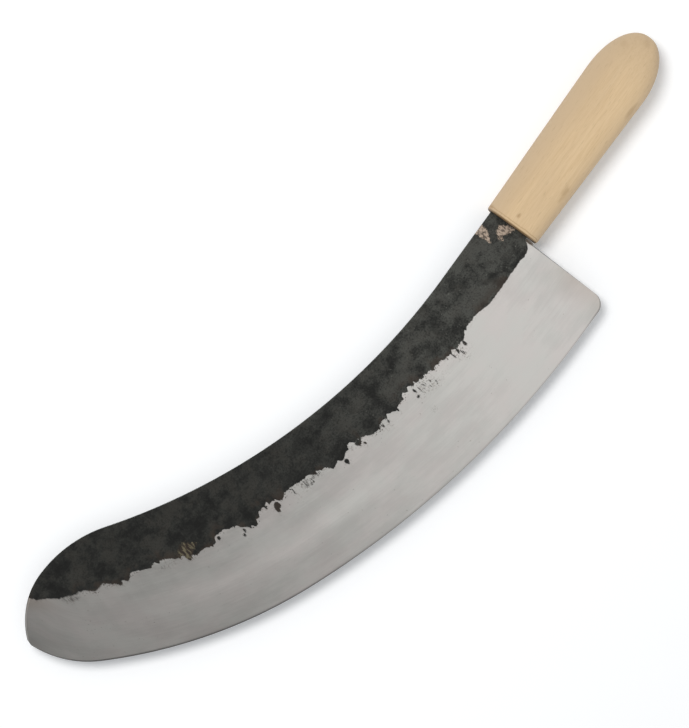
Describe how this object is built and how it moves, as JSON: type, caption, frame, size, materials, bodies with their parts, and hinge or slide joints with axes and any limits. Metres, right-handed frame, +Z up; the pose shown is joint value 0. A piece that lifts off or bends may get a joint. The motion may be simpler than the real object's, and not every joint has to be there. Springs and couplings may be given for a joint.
{
  "type": "curved cleaver",
  "caption": "Hand-forged cleaver with a broad, upswept blade, black forge scale along its back, a ground bevel down to the edge and a pale wooden stick handle.",
  "frame": {"origin": "on the table under the middle of the part's box, with the knife lying on its side as it rests", "axes": "+X along the handle towards the blade's nose, +Y across the blade towards its cutting edge, +Z up from the table"},
  "size_m": [0.4444, 0.1548, 0.0289],
  "materials": {
    "forged_steel": "black forge scale along the back with a ragged border, satin ground bevel below it, bare patches at the neck",
    "pale_wood": "bare sanded hardwood with fine dark flecks along the grain, scorched round the mouth of the socket",
    "bedding_resin": "dark brown cast resin"
  },
  "bodies": {
    "root": {"blade": "forged_steel", "handle": "pale_wood", "tang_bedding": "bedding_resin"}
  },
  "joints": []
}
